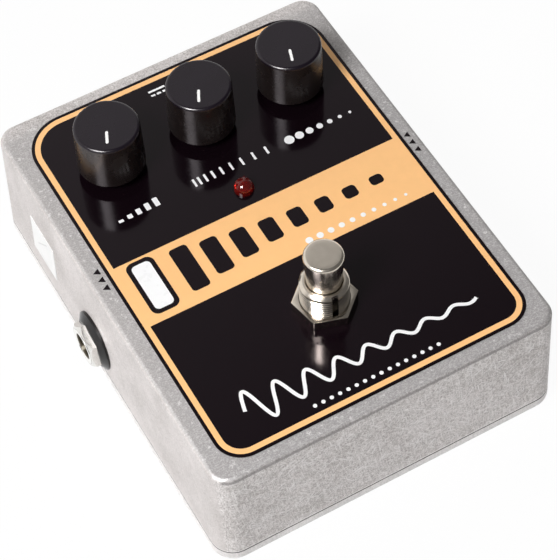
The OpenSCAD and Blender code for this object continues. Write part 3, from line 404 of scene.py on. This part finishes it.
# Signs on the face
# A second pass of ink: plain marks under the knobs, a fading row of bars on the band, a dying
# wave in front of the footswitch, and small arrows on the rim beside the jacks.
# Places and sizes on the face are in millimetres.
face_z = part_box("face_black")[1].z
ink_t = 0.03 * mm


def bar(x, y, width, length, corner=0.0, z=face_z):
    """A flat bar on height z, with round corners where a radius is given."""
    bpy.ops.object.select_all(action="DESELECT")
    bpy.ops.mesh.primitive_plane_add(size=1, location=(x * mm, y * mm, z))
    piece = bpy.context.object
    piece.scale = (width * mm, length * mm, 1)
    bpy.ops.object.transform_apply(location=True, rotation=True, scale=True)
    if corner:
        bpy.ops.object.mode_set(mode="EDIT")
        bpy.ops.mesh.select_all(action="SELECT")
        bpy.ops.mesh.bevel(offset=corner * mm, segments=6, affect="VERTICES")
        bpy.ops.object.mode_set(mode="OBJECT")
    return piece


def disc(x, y, radius, z=face_z, sides=28, turn=0.0):
    """A flat disc on height z, or a triangle where it has three sides."""
    bpy.ops.object.select_all(action="DESELECT")
    bpy.ops.mesh.primitive_circle_add(vertices=sides, radius=radius * mm, fill_type="NGON",
                                      location=(x * mm, y * mm, z), rotation=(0, 0, turn))
    piece = bpy.context.object
    bpy.ops.object.transform_apply(location=True, rotation=True, scale=True)
    return piece


def printed(name, shapes, material):
    """Joins flat shapes into one film of ink that rides on the case."""
    bpy.ops.object.select_all(action="DESELECT")
    for piece in shapes:
        piece.select_set(True)
    bpy.context.view_layer.objects.active = shapes[0]
    bpy.ops.object.join()
    film = bpy.context.object
    film.name = name
    bpy.ops.object.mode_set(mode="EDIT")
    bpy.ops.mesh.select_all(action="SELECT")
    bpy.ops.mesh.normals_make_consistent(inside=False)
    bpy.ops.object.mode_set(mode="OBJECT")
    for polygon in film.data.polygons:
        if polygon.normal.z < 0:
            polygon.flip()
    thick = film.modifiers.new("film", "SOLIDIFY")
    thick.thickness = ink_t
    thick.offset = 1.0
    bpy.ops.object.modifier_apply(modifier="film")
    film.data.materials.clear()
    film.data.materials.append(material)
    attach(film, "case")


# Under the knobs, from the left: bars that grow, ticks that draw apart, and dots that shrink.
marks = []
for i in range(5):
    marks.append(bar(x=-30.4 + 2.5 * i, y=18.0 + 0.24 * i, width=1.3, length=0.8 + 0.48 * i, corner=0.2))
tick_x = -9.6
for i in range(9):
    marks.append(bar(x=tick_x, y=19.2, width=0.6, length=2.5, corner=0.15))
    tick_x += 1.4 + 0.32 * i
marks += [disc(x=17.0 + 2.9 * i, y=19.1, radius=1.3 - 0.15 * i) for i in range(7)]

# By the power socket: the common sign for direct current, a line over three dashes.
marks.append(bar(x=-3.9, y=50.6, width=4.6, length=0.6))
marks += [bar(x=-5.5 + 1.6 * i, y=49.2, width=1.1, length=0.6) for i in range(3)]

# In front: a row of dots under a wave that dies away. The wave is a strip of even width along its line.
marks += [disc(x=-16 + 2.2 * i, y=-51.3, radius=0.5) for i in range(16)]
wave_x = -30.5
wave_y = -44.6
wave_l = 62
wave_h = 5.4
wave_count = 8
wave_fade = 2.2
turn_rate = 2 * math.pi * wave_count
line_w = 0.9
bpy.ops.object.select_all(action="DESELECT")
bpy.ops.mesh.primitive_grid_add(x_subdivisions=320, y_subdivisions=1, size=1, location=(0, 0, face_z))
wave = bpy.context.object
bpy.ops.object.transform_apply(location=True, rotation=True, scale=True)
for point in wave.data.vertices:
    along = point.co.x + 0.5
    side = 1 if point.co.y > 0 else -1
    swing = wave_h * math.exp(-wave_fade * along)
    phase = turn_rate * along
    slope = swing * (turn_rate * math.cos(phase) - wave_fade * math.sin(phase)) / wave_l
    across = Vector((-slope, 1, 0)).normalized() * side * line_w / 2
    point.co.x = (wave_x + wave_l * along + across.x) * mm
    point.co.y = (wave_y + swing * math.sin(phase) + across.y) * mm
marks.append(wave)
printed("white_marks", marks, white_ink)

# On the band: one framed white bar, then black bars that fade, and white dots below them.
band_y = -2.6
frame_x = -32.5
bars = [bar(x=frame_x, y=band_y, width=7.4, length=16.4, corner=2.0)]
for i in range(8):
    bars.append(bar(x=-22.6 + 7.4 * i, y=band_y, width=4.8 - 0.18 * i, length=13.6 * 0.8 ** i, corner=1.0))
printed("band_bars", bars, black_ink)
lights = [bar(x=frame_x, y=band_y, width=5.0, length=14.0, corner=1.2, z=face_z + ink_t)]
lights += [disc(x=6.0 + 3.0 * i, y=-10.2, radius=0.95 - 0.06 * i) for i in range(10)]
printed("band_lights", lights, white_ink)

# On the bare rim: three small arrows beside each jack.
arrows = []
for arrow_x, arrow_y, arrow_r in ((-42.2, 2.3, 1.1), (43.0, 0.4, 1.0)):
    arrows += [disc(arrow_x, arrow_y + 2.6 * i, arrow_r, rim_z, sides=3, turn=math.pi / 2) for i in range(3)]
printed("rim_arrows", arrows, black_ink)

# Side label
# A small blank paper label, stuck by hand on the left wall behind the jack, so that it has
# two faint creases where the paper didn't lie flat.
paper_stock, tree, shader = finish("label_paper", Roughness=0.55)
spot = own_spot(tree)
fibre = noise(tree, spot, 1500.0, 4.0, 0.7)


def crease(start, stop, width):
    """A mask along a straight line on the left wall, between two points given as (y, z) in metres."""
    start = Vector((0, *start))
    stop = Vector((0, *stop))
    half = (stop - start).length / 2
    along = (stop - start).normalized()
    across = Vector((0, -along.z, along.y))
    offset = place(tree, "ShaderNodeVectorMath", {"operation": "SUBTRACT"}, ins=[spot, (start + stop) / 2])
    reaches = []
    for way in (across, along):
        reach = place(tree, "ShaderNodeVectorMath", {"operation": "DOT_PRODUCT"},
                      ins=[offset.outputs[0], way])
        reaches.append(sums(tree, "ABSOLUTE", reach.outputs["Value"]))
    return times(tree, stepped(tree, reaches[0], 0.0, width, 1.0, 0.0),
                 stepped(tree, reaches[1], 0.6 * half, half, 1.0, 0.0))


folds = larger(tree, crease((0.03796, 0.01313), (0.0305, 0.01988), 0.35 * mm),
               crease((0.0373, 0.01045), (0.0308, 0.00981), 0.3 * mm))
white = tinted(tree, fibre, (0.68, 0.68, 0.68), (0.76, 0.76, 0.76))
# The creases are also painted grey as painted shade, on top of their relief.
white = tinted(tree, times(tree, folds, 0.8), white, (0.5, 0.5, 0.51))
relief = plus(tree, times(tree, fibre, 0.2), folds)
coat(tree, shader, white, relief=relief, strength=0.4, depth=0.08 * mm)
dress(paper_stock, "side_label")

# Potentiometers
# Nickel-plated bushings with their nuts and washers through the top; stamped cans, phenolic
# wafers and turned shafts under it.
nickel_low = (0.66, 0.60, 0.525)
nickel_high = (0.74, 0.68, 0.595)
lathe, given = effect("lathe_marks", ("Haze", "Rings"))
along_rings = place(lathe, "ShaderNodeMapping", Vector=given["Vector"], Scale=(60.0, 60.0, 9000.0)).outputs[0]
put_out(lathe, Haze=noise(lathe, given["Vector"], 600.0, 3.0, 0.6), Rings=noise(lathe, along_rings, 1.0, 2.0))


def turned_metal(name, low, high, rough_low, rough_high, groove):
    """Plated metal off a lathe: fine rings round the upright axis and a faint uneven haze."""
    material, tree, shader = finish(name, Metallic=1.0)
    turning = shared(tree, lathe, own_spot(tree))
    gloss = stepped(tree, turning["Haze"], 0.3, 0.7, rough_low, rough_high)
    coat(tree, shader, tinted(tree, turning["Haze"], low, high), gloss, turning["Rings"], groove, 0.03 * mm)
    return material


nickel = turned_metal("nickel_plate", nickel_low, nickel_high, 0.12, 0.18, 0.03)
shaft_metal = turned_metal("turned_shaft", (0.55, 0.55, 0.54), (0.66, 0.66, 0.65), 0.25, 0.4, 0.3)
can_metal = turned_metal("stamped_can", (0.5, 0.5, 0.46), (0.62, 0.62, 0.58), 0.3, 0.45, 0.1)
dress(nickel, "pot_nuts", "pot_washers", "mix_pot_bushing", "time_pot_bushing", "repeats_pot_bushing")
dress(shaft_metal, "mix_shaft", "time_shaft", "repeats_shaft")
dress(can_metal, "mix_pot_can", "time_pot_can", "repeats_pot_can")
speckle, given = effect("fine_speckle", ("Speck", "Share"), takes=("Scale",))
speck = noise(speckle, given["Vector"], given["Scale"], 4.0, 0.6)
put_out(speckle, Speck=speck, Share=stepped(speckle, speck, 0.35, 0.65))


def speckled(name, low, high, scale, roughness, bump_by=0.1, shine=0.5, cast=(1, 1, 1, 1)):
    """A moulded or pressed material with a fine speckle in its colour and its surface."""
    material, tree, shader = finish(name, Specular_IOR_Level=shine, Specular_Tint=cast)
    grain = shared(tree, speckle, own_spot(tree), Scale=scale)
    gloss = stepped(tree, grain["Speck"], 0.3, 0.7, roughness * 0.9, roughness * 1.12)
    coat(tree, shader, tinted(tree, grain["Share"], low, high), gloss, grain["Speck"], bump_by, 0.02 * mm)
    return material


phenolic = speckled("phenolic_board", (0.17, 0.08, 0.035), (0.27, 0.13, 0.055), 1400.0, 0.5)
dress(phenolic, "pot_wafers")

# Knobs
# Smooth black mouldings pressed on the flatted shafts, each with a white line inlaid in its top.
# The sides below the rounded edge are painted a little lighter and warmer than the top, a painted sheen that
# the softbox brings out on the lit side.
knob_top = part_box("mix_knob")[1].z


def reopened(material):
    """A material's tree, its shader, and the colour that feeds the shader so far."""
    tree = material.node_tree
    shader = tree.nodes["Principled BSDF"]
    return tree, shader, shader.inputs["Base Color"].links[0].from_socket


knob_plastic = speckled("knob_plastic", (0.0042, 0.0016, 0.0058), (0.0050, 0.0022, 0.0068), 160.0,
                        roughness=0.27, bump_by=0.01, shine=0.43, cast=(1.0, 0.97, 0.97, 1))
tree, shader, moulded_black = reopened(knob_plastic)
spot = own_spot(tree)
# Painted sheen: the sides get a lighter, warmer colour than the top.
painted_side_sheen = tinted(tree, noise(tree, spot, 220.0, 3.0), (0.0095, 0.0066, 0.0064), (0.0125, 0.009, 0.0086))
up = place(tree, "ShaderNodeSeparateXYZ", Vector=spot).outputs[2]
upper = stepped(tree, up, knob_top - 1.0 * mm, knob_top - 0.4 * mm)
coat(tree, shader, tinted(tree, upper, painted_side_sheen, moulded_black))
pointer_plastic = speckled("pointer_plastic", (0.84, 0.84, 0.83), (0.92, 0.92, 0.91), 1800.0, 0.35, 0.05)
dress(knob_plastic, "mix_knob", "time_knob", "repeats_knob")
dress(pointer_plastic, "mix_pointer", "time_pointer", "repeats_pointer")

# Lamp
# A 5 mm indicator in clear red resin, pushed up through the top from below, not lit, so that the
# dark of the case shows deep red through it.
resin, tree, shader = finish("red_resin", Roughness=0.04, IOR=1.5, Transmission_Weight=0.75)
depth = noise(tree, own_spot(tree), 350.0, 2.0)
coat(tree, shader, tinted(tree, depth, (0.26, 0.008, 0.006), (0.4, 0.016, 0.01)))
dress(resin, "lamp_lens")

# Footswitch
# A nickel-plated stomp switch: a turned button with a rounded edge, in a bushing with a fine
# thread, a key slot and a plain ring on top, held by a hexagon nut with a bevelled bore.
# Profiles are (radius, height) in millimetres. Points closer than a gap, in metres, are merged.
switch_y = -28.0
shading_angle = math.radians(35)
turned_gap = 1e-7
wound_gap = 1e-6


def arc(across, up, radius, first, last, steps):
    """Points along a round corner of a profile, with angles in degrees."""
    turns = [math.radians(first + (last - first) * i / steps) for i in range(steps + 1)]
    return [(across + radius * math.cos(a), up + radius * math.sin(a)) for a in turns]


def drawn(name, profile):
    """An open line of edges through a profile's points, beside the world's upright axis, in edit mode."""
    bpy.ops.object.select_all(action="DESELECT")
    bpy.ops.mesh.primitive_plane_add(size=mm, location=(0, 0, 0))
    piece = bpy.context.object
    piece.name = name
    bpy.ops.object.mode_set(mode="EDIT")
    bpy.ops.mesh.select_all(action="SELECT")
    bpy.ops.mesh.merge(type="CENTER")
    bpy.ops.mesh.select_all(action="SELECT")
    bpy.ops.transform.translate(value=(profile[0][0] * mm, 0, profile[0][1] * mm))
    for (r0, z0), (r1, z1) in zip(profile, profile[1:]):
        step = ((r1 - r0) * mm, 0, (z1 - z0) * mm)
        bpy.ops.mesh.extrude_vertices_move(TRANSFORM_OT_translate={"value": step})
    bpy.ops.mesh.select_all(action="SELECT")
    return piece


def turned_piece(name, profile):
    """Spins a profile round the switch's axis and closes it."""
    piece = drawn(name, profile)
    bpy.ops.mesh.spin(steps=128, angle=2 * math.pi, center=(0, 0, 0), axis=(0, 0, 1))
    bpy.ops.mesh.select_all(action="SELECT")
    bpy.ops.mesh.remove_doubles(threshold=turned_gap)
    bpy.ops.mesh.normals_make_consistent(inside=False)
    bpy.ops.transform.translate(value=(0, switch_y * mm, 0))
    bpy.ops.object.mode_set(mode="OBJECT")
    bpy.ops.object.shade_smooth_by_angle(angle=shading_angle)
    return piece


def wound(piece, pitch, turns, steps):
    """Winds a section round the world's upright axis, and leaves the coil selected in edit mode."""
    winding = piece.modifiers.new("winding", "SCREW")
    winding.axis = "Z"
    winding.screw_offset = pitch * mm
    winding.iterations = turns
    winding.steps = steps
    winding.render_steps = steps
    bpy.ops.object.modifier_apply(modifier="winding")
    bpy.ops.object.mode_set(mode="EDIT")
    bpy.ops.mesh.select_all(action="SELECT")
    bpy.ops.mesh.remove_doubles(threshold=wound_gap)
    bpy.ops.mesh.select_all(action="SELECT")


def capped():
    """Closes the open ends of the coil in edit mode and sets it on the switch's axis."""
    bpy.ops.mesh.fill_holes(sides=0)
    bpy.ops.mesh.select_all(action="SELECT")
    bpy.ops.mesh.normals_make_consistent(inside=False)
    bpy.ops.transform.translate(value=(0, switch_y * mm, 0))
    bpy.ops.object.mode_set(mode="OBJECT")


def cut(piece, cutter):
    """Takes one closed shape out of another."""
    bpy.ops.object.select_all(action="DESELECT")
    bpy.context.view_layer.objects.active = piece
    piece.select_set(True)
    step = piece.modifiers.new("cut", "BOOLEAN")
    step.operation = "DIFFERENCE"
    step.solver = "EXACT"
    step.object = cutter
    bpy.ops.object.modifier_apply(modifier="cut")
    bpy.data.objects.remove(cutter)


def fitted(piece, material, body, slot, *names):
    """Finishes a piece that stands for CAD nodes and rides on their body."""
    piece.data.materials.clear()
    piece.data.materials.append(material)
    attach(piece, body)
    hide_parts(*names)


# The button: a thin stem with its stop collar below, and a barrel that flares a little to the top.
button_top = 54.0
edge_r = 0.8
stem_line = [(0, 20.5), (2.0, 20.5), (2.0, 24.4), (3.2, 24.4), (3.2, 25.6), (2.0, 25.6), (2.0, 38.6)]
barrel_line = [(4.25, 38.6), (4.25, 43.2), (4.3, 44.1), (4.32, 45.0), (4.35, 46.0), (4.39, 47.0),
               (4.42, 47.6), (4.5, 48.5), (4.6, 49.5), (4.72, 51.0), (4.81, 52.4)]
edge_line = arc(4.05, button_top - edge_r, edge_r, 0, 90, 12) + [(3.0, button_top), (0, button_top)]
button = turned_piece("stomp_button", stem_line + barrel_line + edge_line)
button_plate = turned_metal("button_plate", nickel_low, nickel_high, 0.2, 0.26, 0.03)
fitted(button, button_plate, "footswitch", "nickel", "switch_button")

# The bushing's thread: one tooth wound up past both ends, trimmed, capped and bored.
pitch = 25.4 / 32
root_r = 5.55
crest_r = 5.98
thread_start = 26.2
thread_low = 27.3
thread_high = 42.95
tooth = [(root_r, 0.0), (5.58, 0.06), (5.93, 0.25), (crest_r, 0.29), (crest_r, 0.51), (5.93, 0.55),
         (5.58, 0.735), (root_r, pitch)]
thread = drawn("switch_thread", [(r, thread_start + z) for r, z in tooth])
bpy.ops.object.mode_set(mode="OBJECT")
wound(thread, pitch, turns=22, steps=96)
bpy.ops.mesh.bisect(plane_co=(0, 0, thread_low * mm), plane_no=(0, 0, 1), clear_inner=True)
bpy.ops.mesh.select_all(action="SELECT")
bpy.ops.mesh.bisect(plane_co=(0, 0, thread_high * mm), plane_no=(0, 0, 1), clear_outer=True)
bpy.ops.mesh.select_all(action="SELECT")
bpy.ops.mesh.remove_doubles(threshold=wound_gap)
bpy.ops.mesh.select_all(action="SELECT")
capped()
spring_low = 29.6
bore_line = [(0, 20), (2.07, 20), (2.07, spring_low), (4.32, spring_low), (4.32, 40.0), (4.35, 41.0),
             (4.38, 42.0), (4.42, 43.0), (4.46, 44.1), (4.46, 60), (0, 60)]
cut(thread, turned_piece("bore", bore_line))

key_w = 1.6
key_d = 2.0
key_l = 30
key_out = 6.3
key_z = 32
key_turn = math.radians(-4)


def key_bar():
    """The bar that the key slot is milled with, in its place beside the bushing."""
    bpy.ops.object.select_all(action="DESELECT")
    bpy.ops.mesh.primitive_cube_add(size=1, location=(0, 0, 0))
    made = bpy.context.object
    made.scale = (key_w * mm, key_d * mm, key_l * mm)
    made.location = (0, -key_out * mm, key_z * mm)
    bpy.ops.object.transform_apply(location=True, rotation=True, scale=True)
    made.rotation_euler = (0, 0, key_turn)
    made.location = (0, switch_y * mm, 0)
    bpy.ops.object.transform_apply(location=True, rotation=True, scale=True)
    return made


cut(thread, key_bar())
bpy.ops.object.shade_smooth_by_angle(angle=shading_angle)

# The plain ring on top, with three fine grooves turned in its slope, is joined to the thread.
ring_line = [(4.42, 42.9), (root_r, 42.9), (root_r, 43.1), (5.9, 43.13), (5.94, 43.2)]
ring_line += [(5.81, 43.36), (5.84, 43.42), (5.67, 43.58), (5.70, 43.64), (5.52, 43.80), (5.54, 43.86)]
ring_line += [(5.36, 44.02), (5.25, 44.08), (5.15, 44.1), (4.62, 44.1), (4.46, 43.96), (4.42, 42.9)]
ring = turned_piece("switch_ring", ring_line)
cut(ring, key_bar())
bpy.ops.object.select_all(action="DESELECT")
ring.select_set(True)
thread.select_set(True)
bpy.context.view_layer.objects.active = thread
bpy.ops.object.join()

# Painted shade darkens the thread's root and flanks.
thread_plate = turned_metal("thread_plate", nickel_low, nickel_high, 0.15, 0.21, 0.02)
tree, shader, unshaded_plate = reopened(thread_plate)
to_right, to_rear, up = place(tree, "ShaderNodeSeparateXYZ", Vector=own_spot(tree)).outputs


def off_axis(tree, a, b):
    """How far a point lies from an axis, from its two offsets."""
    return sums(tree, "SQRT", plus(tree, times(tree, a, a), times(tree, b, b)))


reach = off_axis(tree, to_right, minus(tree, to_rear, switch_y * mm))
painted_groove_shade = times(tree, stepped(tree, reach, 5.8 * mm, 5.96 * mm, 0.95, 0.0),
               stepped(tree, up, 42.9 * mm, thread_high * mm, 1.0, 0.0))
coat(tree, shader, tinted(tree, painted_groove_shade, unshaded_plate, (0.05, 0.042, 0.032)))
fitted(thread, thread_plate, "case", "nickel", "switch_bushing")

# The outer nut: a bevelled hexagon whose bore opens a little at the top.
nut_across = 14
nut_h = 2.9
nut_low = 34.2
nut_top = nut_low + nut_h
nut_r = nut_across / 2 / math.cos(math.pi / 6)
bpy.ops.object.select_all(action="DESELECT")
bpy.ops.mesh.primitive_cylinder_add(vertices=6, radius=nut_r * mm, depth=nut_h * mm,
                                    location=(0, switch_y * mm, (nut_low + nut_h / 2) * mm),
                                    rotation=(0, 0, math.radians(12)))
hexagon = bpy.context.object
hexagon.name = "switch_hexagon"
bpy.ops.object.transform_apply(location=True, rotation=True, scale=True)
bpy.ops.object.mode_set(mode="EDIT")
bpy.ops.mesh.select_all(action="SELECT")
bpy.ops.mesh.bevel(offset=0.12 * mm, segments=3, affect="EDGES")
bpy.ops.object.mode_set(mode="OBJECT")
nut_bore = [(0, 30), (6.05, 30), (6.05, nut_top - 0.1), (6.15, nut_top), (6.15, 40), (0, 40)]
cut(hexagon, turned_piece("bore", nut_bore))
bpy.ops.object.shade_smooth_by_angle(angle=math.radians(20))
fitted(hexagon, nickel, "case", "nickel", "switch_nut")

# The return spring stands on the floor of the bore.
spring_high = 38.6
spring_turns = 6
coil_r = 3.3
wire_r = 0.29
end_gap = 0.3
bpy.ops.object.select_all(action="DESELECT")
bpy.ops.mesh.primitive_circle_add(vertices=14, radius=wire_r * mm, rotation=(math.pi / 2, 0, 0),
                                  location=(coil_r * mm, 0, (spring_low + end_gap) * mm))
spring = bpy.context.object
spring.name = "return_spring"
bpy.ops.object.transform_apply(location=True, rotation=True, scale=True)
wound(spring, (spring_high - spring_low - 2 * end_gap) / spring_turns, spring_turns, steps=48)
capped()
bpy.ops.object.shade_smooth_by_angle(angle=shading_angle)
fitted(spring, zinc, "case", "zinc_steel", "switch_spring")
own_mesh(spring)

dress(nickel, "switch_inner_nut", "switch_lock_washer")
housing_blue = speckled("housing_plastic", (0.02, 0.07, 0.3), (0.03, 0.1, 0.38), 1200.0, 0.3)
brass = turned_metal("stamped_brass", (0.66, 0.47, 0.2), (0.8, 0.6, 0.3), 0.2, 0.36, 0.1)
wire_cover = speckled("wire_cover", (0.4, 0.02, 0.02), (0.52, 0.035, 0.03), 900.0, 0.45)
dress(housing_blue, "switch_housing")
dress(brass, "switch_lugs", "output_jack_contacts", "input_jack_contacts", "dc_socket_spring")
dress(wire_cover, "switch_wires")

# Jacks
# Phone jacks through both side walls: a black collar against the wall, a bevelled bright nut,
# and the threaded sleeve, whose plug hole is painted dark inside as painted shade, with a painted highlight
# line along it.
jack_y = 5.4 * mm
jack_z = 10.6 * mm
bright_plate = turned_metal("bright_plate", (0.76, 0.75, 0.72), (0.84, 0.83, 0.80), 0.19, 0.26, 0.02)
collar_plastic = speckled("collar_plastic", (0.006, 0.0055, 0.0055), (0.009, 0.008, 0.008), 1500.0,
                          roughness=0.2, bump_by=0.02, shine=0.33)
body_plastic = speckled("jack_plastic", (0.016, 0.016, 0.016), (0.026, 0.026, 0.026), 1500.0, 0.45)
dress(collar_plastic, "output_jack_collar", "input_jack_collar")
dress(bright_plate, "output_jack_nut", "input_jack_nut")
sleeve_plate, tree, shader = finish("sleeve_plate", Metallic=1.0)
spot = own_spot(tree)
to_right, to_rear, up = place(tree, "ShaderNodeSeparateXYZ", Vector=spot).outputs
off_y = minus(tree, to_rear, jack_y)
# The plug hole is painted dark as painted shade, and the line along it is a painted highlight.
inside = stepped(tree, off_axis(tree, off_y, minus(tree, up, jack_z)), 3.45 * mm, 3.6 * mm, 1.0, 0.0)
outer = tinted(tree, noise(tree, spot, 900.0, 3.0), (0.88, 0.87, 0.84), (0.95, 0.94, 0.91))
off_line = sums(tree, "ABSOLUTE", minus(tree, off_y, 1.4 * mm))
painted_streak = stepped(tree, off_line, 0.2 * mm, 0.6 * mm, 0.7, 0.0)
bore = tinted(tree, painted_streak, (0.085, 0.072, 0.052), (0.55, 0.5, 0.4))
coat(tree, shader, tinted(tree, inside, outer, bore), by_mask(tree, inside, 0.18, 0.45))
dress(sleeve_plate, "output_jack_sleeve", "input_jack_sleeve")
dress(nickel, "dc_socket_pin")
dress(body_plastic, "output_jack_body", "input_jack_body", "dc_socket_body")

# Circuit board
# A green fibre board with its parts hanging under it, soldered to the pots, the lamp and the jacks,
# which carry it. The chips are black mouldings, and the other parts are dipped or sleeved in colour.
board_mask = speckled("solder_mask", (0.012, 0.1, 0.035), (0.02, 0.16, 0.055), 500.0, 0.3)
chip_plastic = speckled("chip_plastic", (0.022, 0.022, 0.023), (0.034, 0.034, 0.035), 2600.0, 0.55)
can_sleeve = speckled("can_sleeve", (0.02, 0.035, 0.14), (0.03, 0.05, 0.2), 900.0, 0.3)
film_dip = speckled("film_dip", (0.3, 0.03, 0.02), (0.42, 0.05, 0.03), 700.0, 0.3)
lacquer = speckled("resistor_lacquer", (0.5, 0.34, 0.2), (0.62, 0.44, 0.27), 800.0, 0.45)
dress(board_mask, "circuit_board")
dress(chip_plastic, "delay_chip", "amplifier_chips", "regulator")
dress(can_sleeve, "electrolytic_capacitors")
dress(film_dip, "film_capacitors")
dress(lacquer, "resistors")
